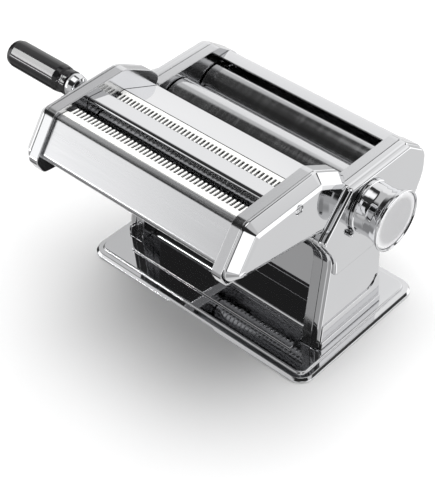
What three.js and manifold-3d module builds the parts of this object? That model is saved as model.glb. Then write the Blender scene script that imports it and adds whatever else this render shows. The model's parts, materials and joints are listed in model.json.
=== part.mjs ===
// Hand-cranked pasta machine in millimetres: a roller stand with a slide-on noodle cutter.
// +Z is up, +X is the knob side and -Y is the cutter side.
// The origin is on the table, under the base's centre.
import * as THREE from 'three';
import { mergeVertices } from 'three/addons/utils/BufferGeometryUtils.js';
import Module from 'manifold-3d';

const wasm = await Module();
wasm.setup();

// Driving dimensions
const gap = 0.3;
const wall = 1.2;
const baseLength = 204;
const baseDepth = 130;
const baseHeight = 5.5;
const baseStep = 5.5;
const baseCorner = 12;
const rollerLength = 150;
const rollerRadius = 18.5;
const rollerJournal = 5;
const frontRollerAxis = [4.6, 113.6];
const rearRollerAxis = [43.9, 106.6];
const gapTravel = 2.4;
const cutterRadius = 9.4;
const cutterJournal = 3;
const sideInner = 76;
const sideSeam = 83.5;
const sideFace = 93;
const legFace = 90;
const headBevel = 2.2;
const legBevel = 1.6;
const cheekBevel = 5;
const knobRadius = 22.3;
const knobFace = 117.4;
const gripAxis = [-46, 129.8];
const gripEnd = 190;

// Side views as corners [y, z, radius], counter-clockwise seen from +X
const standCorners = [
  [-35.3, 6, 0], [36, 6, 0], [31.5, 60, 10], [63.5, 85.5, 24], [71, 102, 30],
  [70.5, 122, 18], [49.5, 137, 24], [-13, 137, 4], [-40.5, 105.5, 4], [-26.3, 84, 26],
];
const headCorners = [
  [-24.6, 69, 3], [41.2, 69, 2], [62.7, 86.1, 23], [69.9, 102.1, 29],
  [69.4, 121.4, 17], [49, 135.9, 23], [-12.5, 135.9, 4], [-39.2, 105.3, 4], [-25.1, 84.1, 27],
];
const cheekBack = [
  [-50, 116.5, 6], [-38.5, 113.5, 6], [-11.5, 143.5, 6],
  [-20, 153, 9], [-44, 166.5, 12], [-108.5, 165.5, 9],
];
const cheekCoverCorners = [[-128, 136.5, 8], [-121, 128.5, 9], ...cheekBack];
const cheekFrameCorners = [[-128.3, 136, 5], [-122.5, 124.6, 6], ...cheekBack];

// The cutter slides up along the head's sloping front edge
const slideStart = new THREE.Vector2(-40.5, 105.5);
const slideEnd = new THREE.Vector2(-13, 137);
const slideAlong = slideEnd.clone().sub(slideStart).normalize();
const slideInto = new THREE.Vector2(slideAlong.y, -slideAlong.x);
const onSlide = (along, depth) =>
  slideStart.clone().addScaledVector(slideAlong, along).addScaledVector(slideInto, depth);

const finishes = {
  chrome: { color: 0xdfe0e3, roughness: 0.08, metalness: 1 },
  polished_steel: { color: 0xc8cace, roughness: 0.2, metalness: 1 },
  steel: { color: 0x9a9da2, roughness: 0.4, metalness: 1 },
  satin_aluminium: { color: 0xc9cacc, roughness: 0.45, metalness: 0.8 },
  brass: { color: 0xb99a55, roughness: 0.35, metalness: 1 },
  white_plastic: { color: 0xe9e9e6, roughness: 0.35, metalness: 0 },
  black_plastic: { color: 0x111113, roughness: 0.2, metalness: 0 },
  rubber: { color: 0x1c1c1d, roughness: 0.8, metalness: 0 },
};

const group = new THREE.Group();

// ---- Solids -------------------------------------------------------------------------------------

// Turns a closed three.js geometry into a manifold solid that faces outwards.
function solid(geometry) {
  geometry.deleteAttribute('normal');
  geometry.deleteAttribute('uv');
  const merged = mergeVertices(geometry, 1e-3);
  const position = merged.getAttribute('position');
  const corner = new THREE.Vector3();
  const [a, b, c] = [new THREE.Vector3(), new THREE.Vector3(), new THREE.Vector3()];
  const triangles = [];
  let volume = 0;
  for (let i = 0; i < merged.index.count; i += 3) {
    const face = [0, 1, 2].map((k) => merged.index.getX(i + k));
    if (new Set(face).size < 3) continue;
    triangles.push(face);
    [a, b, c].forEach((point, k) => point.copy(corner.fromBufferAttribute(position, face[k])));
    volume += a.dot(b.cross(c));
  }
  if (volume < 0) triangles.forEach((face) => face.reverse());
  const vertProperties = new Float32Array(position.array);
  const triVerts = new Uint32Array(triangles.flat());
  return new wasm.Manifold(new wasm.Mesh({ numProp: 3, vertProperties, triVerts }));
}

// Adds one named piece to the group.
function piece(name, body, finish) {
  const mesh = body.getMesh();
  const geometry = new THREE.BufferGeometry();
  geometry.setAttribute('position', new THREE.BufferAttribute(new Float32Array(mesh.vertProperties), 3));
  geometry.setIndex([...mesh.triVerts]);
  geometry.computeVertexNormals();
  const part = new THREE.Mesh(geometry, new THREE.MeshStandardMaterial(finishes[finish]));
  part.name = name;
  group.add(part);
}

const join = (bodies) => bodies.reduce((whole, body) => whole.add(body));
const cut = (body, tools) => body.subtract(join(tools));

// ---- Outlines in a plane ------------------------------------------------------------------------

const edge = (from, to) => new THREE.Vector2(to[0] - from[0], to[1] - from[1]).normalize();

// Rounds one corner [u, v, radius] between its neighbours with an arc.
function roundCorner(before, [u, v, radius], after) {
  const here = new THREE.Vector2(u, v);
  const arriving = edge(before, [u, v]);
  const leaving = edge([u, v], after);
  const turn = Math.asin(THREE.MathUtils.clamp(arriving.cross(leaving), -1, 1));
  if (radius <= 0 || Math.abs(turn) < 1e-3) return [here];
  const angle = Math.acos(THREE.MathUtils.clamp(arriving.dot(leaving), -1, 1));
  const side = Math.sign(turn);
  const start = here.clone().addScaledVector(arriving, -radius * Math.tan(angle / 2));
  const toCentre = new THREE.Vector2(-arriving.y, arriving.x).multiplyScalar(side * radius);
  const centre = start.clone().add(toCentre);
  const steps = Math.max(2, Math.ceil(angle / 0.35));
  return Array.from({ length: steps + 1 }, (_, i) =>
    start.clone().rotateAround(centre, (side * angle * i) / steps));
}

// The points of a closed outline with rounded corners.
function closedOutline(corners) {
  const count = corners.length;
  return corners.flatMap((corner, i) =>
    roundCorner(corners[(i + count - 1) % count], corner, corners[(i + 1) % count]));
}

// The points of an open path with rounded bends.
function openPath(corners) {
  const ends = corners.map(([u, v]) => new THREE.Vector2(u, v));
  const bends = corners.slice(1, -1).flatMap((corner, i) =>
    roundCorner(corners[i], corner, corners[i + 2]));
  return [ends[0], ...bends, ends.at(-1)];
}

// Moves the edges of a counter-clockwise outline inwards; radii change so that the arcs stay parallel.
function inset(corners, distance) {
  const count = corners.length;
  return corners.map((corner, i) => {
    const arriving = edge(corners[(i + count - 1) % count], corner);
    const leaving = edge(corner, corners[(i + 1) % count]);
    const inwards = new THREE.Vector2(-arriving.y - leaving.y, arriving.x + leaving.x);
    inwards.multiplyScalar(distance / (1 + arriving.dot(leaving)));
    const radius = corner[2] - distance * Math.sign(arriving.cross(leaving));
    return [corner[0] + inwards.x, corner[1] + inwards.y, Math.max(0, radius)];
  });
}

// Both faces of a bent sheet whose middle follows a path.
function sheetOutline(corners, thickness) {
  const path = openPath(corners);
  const shifted = (side) => path.map((point, i) => {
    const before = path[Math.max(0, i - 1)];
    const after = path[Math.min(path.length - 1, i + 1)];
    const arriving = (i > 0 ? point.clone().sub(before) : after.clone().sub(point)).normalize();
    const leaving = (i < path.length - 1 ? after.clone().sub(point) : arriving.clone()).normalize();
    const normal = new THREE.Vector2(-arriving.y - leaving.y, arriving.x + leaving.x);
    return point.clone().addScaledVector(normal, (side * thickness) / 2 / (1 + arriving.dot(leaving)));
  });
  return [...shifted(-1), ...shifted(1).reverse()];
}

// ---- Solids along X -----------------------------------------------------------------------------

const alongX = new THREE.Matrix4().makeBasis(
  new THREE.Vector3(0, 1, 0), new THREE.Vector3(0, 0, 1), new THREE.Vector3(1, 0, 0));

// Extrudes side-view points (y, z) from one X to another.
function slab(points, x0, x1, holes = []) {
  const shape = new THREE.Shape(points);
  shape.holes = holes.map((hole) => new THREE.Path(hole));
  const geometry = new THREE.ExtrudeGeometry(shape, { depth: Math.abs(x1 - x0), bevelEnabled: false });
  return solid(geometry.applyMatrix4(alongX).translate(Math.min(x0, x1), 0, 0));
}

// Extrudes a side-view outline to a bevelled outer face at x1, square at x0.
function bevelledSlab(points, x0, x1, bevel) {
  const side = Math.sign(x1);
  const depth = Math.abs(x1 - x0) - bevel;
  const settings = {
    depth, bevelThickness: bevel, bevelSize: bevel, bevelOffset: -bevel, bevelSegments: 1,
  };
  const geometry = new THREE.ExtrudeGeometry(new THREE.Shape(points), settings);
  const start = side > 0 ? x0 : x1 + bevel;
  geometry.applyMatrix4(alongX).translate(start, 0, 0);
  return cut(solid(geometry), [box([x0 - side * 10, x0], [-200, 200], [-10, 200])]);
}

function box(xs, ys, zs) {
  const size = [xs, ys, zs].map(([low, high]) => Math.abs(high - low));
  const middle = [xs, ys, zs].map(([low, high]) => (low + high) / 2);
  return solid(new THREE.BoxGeometry(...size).translate(...middle));
}

// A round solid about an X axis at [y, z] from a closed profile of [radius, x].
function turned(profile, [y, z], segments = 24) {
  const points = profile.map(([radius, x]) => new THREE.Vector2(radius, x));
  points.push(points[0].clone());
  return solid(new THREE.LatheGeometry(points, segments).rotateZ(-Math.PI / 2).translate(0, y, z));
}

const rod = (radius, x0, x1, axis, segments = 16) =>
  turned([[0, x0], [radius, x0], [radius, x1], [0, x1]], axis, segments);

const ring = (outer, inner, x0, x1, axis, segments = 20) =>
  turned([[inner, x0], [outer, x0], [outer, x1], [inner, x1]], axis, segments);

// ---- Base ---------------------------------------------------------------------------------------

// A rectangle in plan with rounded corners, extruded from z0 to z1.
function plinth(length, depth, corner, z0, z1) {
  const [x, y] = [length / 2, depth / 2];
  const points = closedOutline([[-x, -y, corner], [x, -y, corner], [x, y, corner], [-x, y, corner]]);
  const settings = { depth: z1 - z0, bevelEnabled: false };
  const geometry = new THREE.ExtrudeGeometry(new THREE.Shape(points), settings);
  return solid(geometry.translate(0, 0, z0));
}

const post = (radius, z0, z1, x, y, segments = 16) => {
  const geometry = new THREE.CylinderGeometry(radius, radius, z1 - z0, segments);
  return solid(geometry.rotateX(Math.PI / 2).translate(x, y, (z0 + z1) / 2));
};

const screwPlaces = [
  ['front_left', -84.5, -26], ['front_right', 84.5, -26],
  ['back_left', -84.5, 20], ['back_right', 84.5, 20],
];
const screwShank = 2;
const screwHead = 3.6;
const skirtBottom = 0.8;
const rimHeight = 3.8;

// The clearance holes for the screws of one side.
const screwHoles = (side) => screwPlaces.filter(([, x]) => x * side > 0).map(([, x, y]) =>
  post(screwShank + gap, 0, 14, x, y));

function makeBase() {
  const rim = plinth(baseLength, baseDepth, baseCorner, skirtBottom, rimHeight);
  const step = plinth(
    baseLength - 2 * baseStep, baseDepth - 2 * baseStep, baseCorner - baseStep, rimHeight - 1, baseHeight);
  const underRim = plinth(
    baseLength - 2 * wall, baseDepth - 2 * wall, baseCorner - wall, skirtBottom - 1, rimHeight - wall);
  const inside = 2 * (baseStep + wall);
  const innerCorner = baseCorner - baseStep - wall;
  const underStep = plinth(
    baseLength - inside, baseDepth - inside, innerCorner, rimHeight - 2, baseHeight - wall);
  const holes = screwPlaces.map(([, x, y]) => post(screwShank + gap, 0, 10, x, y));
  const clampNotch = box([-22, 22], [-baseDepth / 2 - 1, -baseDepth / 2 + 3], [0, rimHeight - wall]);
  piece('base_plate', cut(rim.add(step), [underRim, underStep, clampNotch, ...holes]), 'chrome');

  const ceiling = baseHeight - wall - gap;
  for (const [place, sx, sy] of [
    ['front_left', -1, -1], ['front_right', 1, -1], ['back_left', -1, 1], ['back_right', 1, 1],
  ]) {
    piece(`foot_${place}`, post(7, 0, ceiling, sx * 66, sy * 48), 'rubber');
  }
  const channel = box([-26, 26], [-40, 34], [0, ceiling]);
  piece('clamp_bracket', cut(channel, [box([-24, 24], [-41, 32], [wall, ceiling + 1])]), 'steel');
}

function makeStandScrews() {
  for (const [place, x, y] of screwPlaces) {
    const head = post(screwHead, 1.8, baseHeight - wall - gap, x, y, 12);
    piece(`stand_screw_${place}`, head.add(post(screwShank, 3, 12, x, y, 12)), 'steel');
  }
}

// ---- Side frames and covers ---------------------------------------------------------------------

// An open pan: a plate with a wall along its edge, opening away from the plate.
function pan(corners, side, plateFrom, plateTo, rimTo) {
  const body = slab(closedOutline(corners), side * plateFrom, side * rimTo);
  return cut(body, [slab(closedOutline(inset(corners, wall)), side * plateTo, side * (rimTo + 1))]);
}

// An outer shell of one or more regions, each a bevelled face with a wall along its edge.
function shell(regions, side) {
  const bodies = regions.map(({ corners, face, bevel }) =>
    bevelledSlab(closedOutline(corners), side * (sideSeam + gap), side * face, bevel));
  const hollows = regions.map(({ corners, face, bevel }) => slab(
    closedOutline(inset(corners, wall + bevel / 2)), side * (sideSeam - 1), side * (face - wall - 0.3)));
  return cut(join(bodies), hollows);
}

const bushRadius = 8.2;
const blockHalf = 8.2;
const gapDirection = edge(frontRollerAxis, rearRollerAxis);

// A square-cornered slab at the front roller, reaching from one offset to another along the gap direction.
function gapBlock(from, to, half, x0, x1) {
  const across = new THREE.Vector2(-gapDirection.y, gapDirection.x);
  const at = (along, aside) => new THREE.Vector2(...frontRollerAxis)
    .addScaledVector(gapDirection, along).addScaledVector(across, aside);
  return slab([at(from, -half), at(to, -half), at(to, half), at(from, half)], x0, x1);
}

const knobShaft = 5;
const studPlace = [-13.2, 100.9];

// A rectangle in the side view between two distances along the slide and two depths behind it.
const onSlideBox = (low, high, shallow, deep) =>
  [onSlide(low, shallow), onSlide(high, shallow), onSlide(high, deep), onSlide(low, deep)];

const guideInner = 71.9;
const guideDepth = 8.1;

function makeSideFrame(name, side) {
  const guideWeb = onSlideBox(3, 34, guideDepth - wall, guideDepth);
  const guideLip = onSlideBox(3, 34, 1, guideDepth);
  const body = join([
    pan(standCorners, side, sideInner, sideInner + wall, sideSeam),
    slab(guideWeb, side * guideInner, side * (sideInner + 0.5)),
    slab(guideLip, side * guideInner, side * (guideInner + wall)),
  ]);
  const holes = [
    rod(bushRadius + gap, side * 70, side * 80, rearRollerAxis, 20),
    gapBlock(-blockHalf - gap, blockHalf + gapTravel + gap, blockHalf + gap, side * 70, side * 80),
    ...screwHoles(side),
  ];
  piece(name, cut(body, holes), 'polished_steel');
}

// The cover's foot steps outwards twice above the base.
const skirtSteps = [
  { face: 91.1, corners: [[-33.4, 6, 0], [34, 6, 0], [31.2, 38, 2], [24.5, 25.5, 9], [-31.2, 25.5, 1]] },
  { face: 92.2, corners: [[-33.4, 6, 0], [34, 6, 0], [33.5, 12, 1], [-32.7, 12, 1]] },
];
const standCoverRegions = [
  { corners: standCorners, face: legFace, bevel: legBevel },
  { corners: headCorners, face: sideFace, bevel: headBevel },
];

function makeSideCovers() {
  const steps = (side) => skirtSteps.map(({ face, corners }) =>
    slab(closedOutline(corners), side * (legFace - 1), side * face));
  const crankHole = rod(7.5, -sideFace - 1, -sideFace + 4, rearRollerAxis, 20);
  const knobHole = rod(knobShaft + gap, sideFace - 4, sideFace + 1, frontRollerAxis);
  const studHole = rod(1.8, sideFace - 4, sideFace + 1, studPlace, 12);
  const left = join([shell(standCoverRegions, -1), ...steps(-1)]);
  const right = join([shell(standCoverRegions, 1), ...steps(1)]);
  piece('left_side_cover', cut(left, [crankHole, ...screwHoles(-1)]), 'chrome');
  piece('right_side_cover', cut(right, [knobHole, studHole, ...screwHoles(1)]), 'chrome');
  const stud = [[0, 89], [1.5, 89], [1.5, 93.3], [2.2, 93.3], [2.2, 95.2], [1.6, 96.4], [0, 96.9]];
  piece('index_stud', turned(stud, studPlace, 16), 'chrome');
}

// ---- Sheets and rods between the sides ----------------------------------------------------------

const between = sideInner - gap;
const betweenGuides = 71.5;

function makeStandSheets() {
  const sheetBase = baseHeight + gap + wall / 2;
  const fold = onSlide(3, 2.5);
  const top = onSlide(30, 2.5);
  const lower = [[-46, sheetBase, 0], [-24, sheetBase, 3], [-24, 84, 3], [-29, 92.8, 0]];
  const upper = [[-25, 85.8, 0], [fold.x, fold.y, 3], [top.x, top.y, 0]];
  piece('front_cover', join([
    slab(sheetOutline(lower, wall), -between, between),
    slab(sheetOutline(upper, wall), -betweenGuides, betweenGuides),
  ]), 'chrome');
  const hood = sheetOutline([[50, 128.5, 0], [60.5, 128.5, 4], [64.2, 124, 4], [64.2, 95, 0]], wall);
  piece('rear_hood', slab(hood, -between, between), 'chrome');
  const frontBlade = sheetOutline([[9, 77, 0], [9, 87, 3], [15.3, 95, 0]], 0.8);
  piece('front_scraper', slab(frontBlade, -between, between), 'black_plastic');
  const rearBlade = sheetOutline([[37, 74, 0], [37, 83, 3], [33.6, 90, 0]], 0.8);
  piece('rear_scraper', slab(rearBlade, -between, between), 'black_plastic');
  piece('lower_tie_rod', rod(4, -between, between, [-10, 40]), 'steel');
  piece('rear_tie_rod', rod(3, -between, between, [51, 83]), 'steel');
}

// ---- Rollers, bearings and gears ----------------------------------------------------------------

// A gear as a slab with straight-sided teeth; phase is the angle of its first tooth.
function gear({ teeth, tip, root, rootWidth, tipWidth, bore, phase }, [y, z], x0, x1) {
  const outline = [];
  for (let i = 0; i < teeth; i++) {
    const middle = phase + (2 * Math.PI * i) / teeth;
    const flanks = [[root, -rootWidth], [tip, -tipWidth], [tip, tipWidth], [root, rootWidth]];
    for (const [radius, aside] of flanks) {
      const angle = middle + aside / 2 / radius;
      outline.push(new THREE.Vector2(y + radius * Math.cos(angle), z + radius * Math.sin(angle)));
    }
  }
  const hole = new THREE.Path().absarc(y, z, bore, 0, 2 * Math.PI).getPoints(5).slice(0, -1);
  return slab(outline, x0, x1, [hole]);
}

// A pair of gears in mesh: the second one's gap faces the first one's tooth.
function gearPair(names, axes, settings, x0, x1) {
  const [first, second] = axes;
  const facing = Math.atan2(second[1] - first[1], second[0] - first[0]);
  const phases = [facing, facing + Math.PI + Math.PI / settings.teeth];
  names.forEach((name, i) =>
    piece(name, gear({ ...settings, phase: phases[i] }, axes[i], x0, x1), 'steel'));
}

const gearInner = 78.5;
const gearOuter = 82.5;
const rollerTeeth = {
  teeth: 20, tip: 20.4, root: 16.4, rootWidth: 2.8, tipWidth: 1.4, bore: rollerJournal + gap,
};
const cutterTeeth = {
  teeth: 12, tip: 10.7, root: 8.2, rootWidth: 2.2, tipWidth: 1.2, bore: cutterJournal + gap,
};

// A roller body with a journal at each end.
function roller(name, axis, radius, journal, leftEnd, rightEnd, segments) {
  const half = rollerLength / 2;
  const profile = [
    [0, leftEnd], [journal, leftEnd], [journal, -half], [radius - 0.6, -half], [radius, -half + 0.6],
    [radius, half - 0.6], [radius - 0.6, half], [journal, half], [journal, rightEnd], [0, rightEnd],
  ];
  piece(name, turned(profile, axis, segments), 'polished_steel');
}

// A cup fixed on a roller's left end; the crank's tip fits in its mouth.
function crankSocket(name, axis, outer, inner) {
  const [mouth, floor, back] = [-90, -85, -83.9];
  piece(name, cut(rod(outer, mouth, back, axis), [rod(inner, mouth - 1, floor, axis)]), 'steel');
}

function makeRollerDrive() {
  roller('front_roller', frontRollerAxis, rollerRadius, rollerJournal, -82.8, 79, 28);
  roller('rear_roller', rearRollerAxis, rollerRadius, rollerJournal, -83.6, 82.8, 28);
  gearPair(['front_roller_gear', 'rear_roller_gear'], [frontRollerAxis, rearRollerAxis], rollerTeeth,
    -gearOuter, -gearInner);
  crankSocket('crank_socket', rearRollerAxis, 7, 4.7);
  for (const [name, side] of [['left', -1], ['right', 1]]) {
    const bush = ring(bushRadius, rollerJournal + gap, side * 75.4, side * 78.1, rearRollerAxis);
    piece(`${name}_rear_bush`, bush, 'brass');
    const block = gapBlock(-blockHalf, blockHalf, blockHalf, side * 75.4, side * 78.1);
    const bore = rod(rollerJournal + gap, side * 74, side * 80, frontRollerAxis);
    piece(`${name}_sliding_bearing`, cut(block, [bore]), 'brass');
  }
}

// ---- Thickness knob -----------------------------------------------------------------------------

function makeKnob() {
  const shaft = [
    [0, 79.6], [11, 79.6], [11, 82.6], [knobShaft, 82.6],
    [knobShaft, 109], [8, 109], [8, 110.8], [0, 110.8],
  ];
  piece('selector_shaft', turned(shaft, frontRollerAxis), 'steel');
  const cavity = 9.2;
  const floor = 98;
  const recess = knobRadius - 1.5;
  const back = sideFace + gap;
  const body = [
    [knobShaft + gap, back], [19.6, back], [19.6, back + 2.5], [18.9, back + 3], [18.4, 99.6],
    [18.2, 104], [19, 109], [20.8, 113.6], [knobRadius, knobFace - 1.6], [knobRadius - 0.5, knobFace],
    [recess + 0.4, knobFace], [recess, knobFace - 1.2], [recess, knobFace - 2.4],
    [cavity, knobFace - 2.4], [cavity, floor], [knobShaft + gap, floor],
  ];
  piece('knob_body', turned(body, frontRollerAxis, 28), 'chrome');
  const discBack = knobFace - 2.4 + gap;
  const discFront = discBack + 0.9;
  const disc = [[0, discBack], [recess - gap, discBack], [recess - gap, discFront], [0, discFront]];
  piece('knob_disc', turned(disc, frontRollerAxis, 28), 'satin_aluminium');
  makeSpring(7, 0.6, floor + gap + 0.6, 109 - gap - 0.6, 3);
}

// A coil spring about the knob's axis.
function makeSpring(radius, wire, x0, x1, turns) {
  const [y, z] = frontRollerAxis;
  const steps = turns * 10;
  const points = Array.from({ length: steps + 1 }, (_, i) => {
    const angle = (2 * Math.PI * turns * i) / steps;
    const x = x0 + ((x1 - x0) * i) / steps;
    return new THREE.Vector3(x, y + radius * Math.cos(angle), z + radius * Math.sin(angle));
  });
  const section = new THREE.Shape().absarc(0, 0, wire, 0, 2 * Math.PI);
  const settings = { steps, extrudePath: new THREE.CatmullRomCurve3(points), curveSegments: 3 };
  piece('knob_spring', solid(new THREE.ExtrudeGeometry(section, settings)), 'steel');
}

// ---- Crank --------------------------------------------------------------------------------------

const crankTip = -85.4;
const crankArm = -110;
const crankRod = 4.2;
const gripStart = -128;

// A quarter bend between two straight stretches of rod.
const bend = (from, corner, to) => new THREE.QuadraticBezierCurve3(from, corner, to);

function makeCrank() {
  const hub = new THREE.Vector3(0, ...rearRollerAxis);
  const hand = new THREE.Vector3(0, ...gripAxis);
  const reach = hand.clone().sub(hub).normalize();
  const at = (point, x, along = 0) => point.clone().setX(x).addScaledVector(reach, along);
  const bow = 9;
  const path = new THREE.CurvePath();
  path.add(new THREE.LineCurve3(at(hub, crankTip), at(hub, crankArm + bow)));
  path.add(bend(at(hub, crankArm + bow), at(hub, crankArm), at(hub, crankArm, bow)));
  path.add(new THREE.LineCurve3(at(hub, crankArm, bow), at(hand, crankArm, -bow)));
  path.add(bend(at(hand, crankArm, -bow), at(hand, crankArm), at(hand, crankArm - bow)));
  path.add(new THREE.LineCurve3(at(hand, crankArm - bow), at(hand, 6 - gripEnd)));
  const section = new THREE.Shape().absarc(0, 0, crankRod, 0, 2 * Math.PI);
  const settings = { steps: 38, extrudePath: path, curveSegments: 4 };
  piece('crank_rod', solid(new THREE.ExtrudeGeometry(section, settings)), 'chrome');

  const bore = crankRod + gap;
  const ferrule = [
    [bore, gripStart + gap], [8.8, gripStart + gap], [9.2, -125.5],
    [8.2, -121.2], [5.6, -119.6], [bore, -119.6],
  ];
  piece('grip_ferrule', turned(ferrule, gripAxis), 'chrome');
  const grip = [
    [bore, gripStart], [8.8, gripStart], [9.4, -129], [9.4, -132.6], [8.4, -133.6],
    [8.4, -135], [9.7, -136.2], [10.3, -140], [10.3, -183.4], [9.5, -187],
    [7, -189.3], [0, -gripEnd], [0, 5.4 - gripEnd], [bore, 5.4 - gripEnd],
  ];
  piece('crank_grip', turned(grip, gripAxis), 'black_plastic');
}

// ---- Cutter -------------------------------------------------------------------------------------

const cutterRollers = [
  { pair: 'front', role: 'driven', axis: [-79.3, 141.5] },
  { pair: 'front', role: 'idle', axis: [-98.5, 141.5] },
  { pair: 'rear', role: 'driven', axis: [-40.2, 136] },
  { pair: 'rear', role: 'idle', axis: [-59.5, 139] },
];
const cheekScrewPlace = [-67, 155];
const socketHole = 6.4;

function makeCutterSides() {
  const tongue = onSlideBox(4, 33, -8, 6.5);
  const web = onSlideBox(4, 33, -8, -4.4);
  const driven = cutterRollers.filter(({ role }) => role === 'driven');
  for (const [name, side] of [['left', -1], ['right', 1]]) {
    const frame = join([
      pan(cheekFrameCorners, side, sideInner, sideInner + wall, sideSeam),
      slab(tongue, side * 73.5, side * 75.5),
      slab(web, side * 73.5, side * (sideInner + 0.5)),
    ]);
    const holes = cutterRollers.map(({ axis }) => rod(cutterJournal + gap, side * 75, side * 80, axis, 12));
    piece(`cutter_${name}_frame`, cut(frame, holes), 'polished_steel');
    const screwHole = rod(3.4, side * (sideFace - 4), side * (sideFace + 1), cheekScrewPlace);
    const mouths = driven.map(({ axis }) => rod(socketHole, -sideFace - 1, -sideFace + 4, axis));
    const sockets = side < 0 ? mouths : [];
    const cover = shell([{ corners: cheekCoverCorners, face: sideFace, bevel: cheekBevel }], side);
    piece(`cutter_${name}_cover`, cut(cover, [screwHole, ...sockets]), 'chrome');
    const [low, high, tail] = [sideFace - 1.3, sideFace - 0.4, sideSeam + 1];
    const screw = [
      [0, tail], [1.6, tail], [1.6, low], [3.1, low], [3.1, high - 0.3], [2.4, high], [0, high],
    ].map(([radius, x]) => [radius, side * x]);
    piece(`cutter_${name}_screw`, turned(screw, cheekScrewPlace, 16), 'chrome');
  }
}

// A flat comb: a straight band along X with teeth that point towards the tips.
function comb(name, root, tips, toothLength) {
  const pitch = 3.3;
  const count = 45;
  const toothHalf = 0.75;
  const rootAt = new THREE.Vector2(...root);
  const width = rootAt.distanceTo(new THREE.Vector2(...tips));
  const points = [new THREE.Vector2(between, 0), new THREE.Vector2(between, width - toothLength)];
  for (let i = count - 1; i >= 0; i--) {
    const x = (i - (count - 1) / 2) * pitch;
    points.push(new THREE.Vector2(x + toothHalf, width - toothLength));
    points.push(new THREE.Vector2(x + toothHalf, width));
    points.push(new THREE.Vector2(x - toothHalf, width));
    points.push(new THREE.Vector2(x - toothHalf, width - toothLength));
  }
  points.push(new THREE.Vector2(-between, width - toothLength), new THREE.Vector2(-between, 0));
  const geometry = new THREE.ExtrudeGeometry(new THREE.Shape(points), { depth: wall, bevelEnabled: false });
  geometry.rotateX(Math.atan2(tips[1] - root[1], tips[0] - root[0]));
  geometry.translate(0, root[0], root[1] - wall / 2);
  piece(name, solid(geometry), 'white_plastic');
}

function makeCutterSheets() {
  const frontPlate = [[-103.9, 161.9, 0], [-107.4, 161.2, 3], [-122.6, 139.2, 3], [-119.6, 134.4, 0]];
  piece('cutter_front_plate', slab(sheetOutline(frontPlate, wall), -between, between), 'chrome');
  comb('front_comb', [-103, 161.6], [-91, 160.6], 6.8);
  const bridge = [[-80.4, 152.6, 0], [-79.2, 161.6, 2], [-65.3, 160.2, 2], [-64.3, 150.5, 0]];
  piece('cutter_bridge', slab(sheetOutline(bridge, wall), -between, between), 'chrome');
  comb('rear_comb', [-46.8, 150.6], [-57.4, 150], 7);
  const rearPlate = [[-46.2, 150.6, 0], [-14, 136.8, 2], [-15, 133.8, 0]];
  piece('cutter_rear_plate', slab(sheetOutline(rearPlate, wall), -between, between), 'chrome');
  piece('cutter_tie_rod', rod(3, -between, between, [-69.2, 127]), 'steel');
}

function makeCutterRollers() {
  for (const { pair, role, axis } of cutterRollers) {
    roller(`${pair}_cutter_${role}_roller`, axis, cutterRadius, cutterJournal, -83.3, 83.3, 18);
    if (role === 'driven') crankSocket(`${pair}_cutter_socket`, axis, 6, 4.7);
  }
  for (const [pair, side] of [['front', -1], ['rear', 1]]) {
    const axes = cutterRollers.filter((entry) => entry.pair === pair).map(({ axis }) => axis);
    const names = ['driven', 'idle'].map((role) => `${pair}_cutter_${role}_gear`);
    gearPair(names, axes, cutterTeeth, side * gearInner, side * gearOuter);
  }
}

makeBase();
makeStandScrews();
makeSideFrame('left_side_frame', -1);
makeSideFrame('right_side_frame', 1);
makeSideCovers();
makeStandSheets();
makeRollerDrive();
makeKnob();
makeCrank();
makeCutterSides();
makeCutterSheets();
makeCutterRollers();

export default group;
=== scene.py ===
"""Looks for the hand-cranked pasta machine. Shapes are worked out in millimetres and placed in metres."""

import json
import math

import bmesh
import bpy
from mathutils import Matrix, Vector


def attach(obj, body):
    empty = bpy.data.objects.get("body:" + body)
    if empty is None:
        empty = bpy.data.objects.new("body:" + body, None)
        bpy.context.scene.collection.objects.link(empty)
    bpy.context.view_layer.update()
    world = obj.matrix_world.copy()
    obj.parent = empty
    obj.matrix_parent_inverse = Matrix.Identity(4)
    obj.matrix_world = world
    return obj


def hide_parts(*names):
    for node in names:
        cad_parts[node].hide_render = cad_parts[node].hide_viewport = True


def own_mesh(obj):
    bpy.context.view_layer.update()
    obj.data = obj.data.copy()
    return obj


MM = 0.001
SIDES = (("left", -1), ("right", 1))
SHARP_ANGLE = math.radians(32)

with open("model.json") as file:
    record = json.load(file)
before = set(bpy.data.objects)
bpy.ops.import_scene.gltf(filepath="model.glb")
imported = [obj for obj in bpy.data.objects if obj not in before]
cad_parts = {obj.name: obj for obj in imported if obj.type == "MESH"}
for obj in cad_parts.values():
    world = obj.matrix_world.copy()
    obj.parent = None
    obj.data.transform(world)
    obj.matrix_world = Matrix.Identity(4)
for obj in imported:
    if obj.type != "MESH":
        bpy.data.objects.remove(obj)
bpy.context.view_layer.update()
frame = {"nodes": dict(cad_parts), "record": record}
record = frame["record"]
body_of_node = {node: body for body, nodes in record["behaviour"]["bodies"].items() for node in nodes}
slot_of_node = {row["node"]: row["material_slot"] for row in record["subparts"]}

# ---- Shared sizes in millimetres, as in the CAD source but for a few corner radii ----------------

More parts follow.
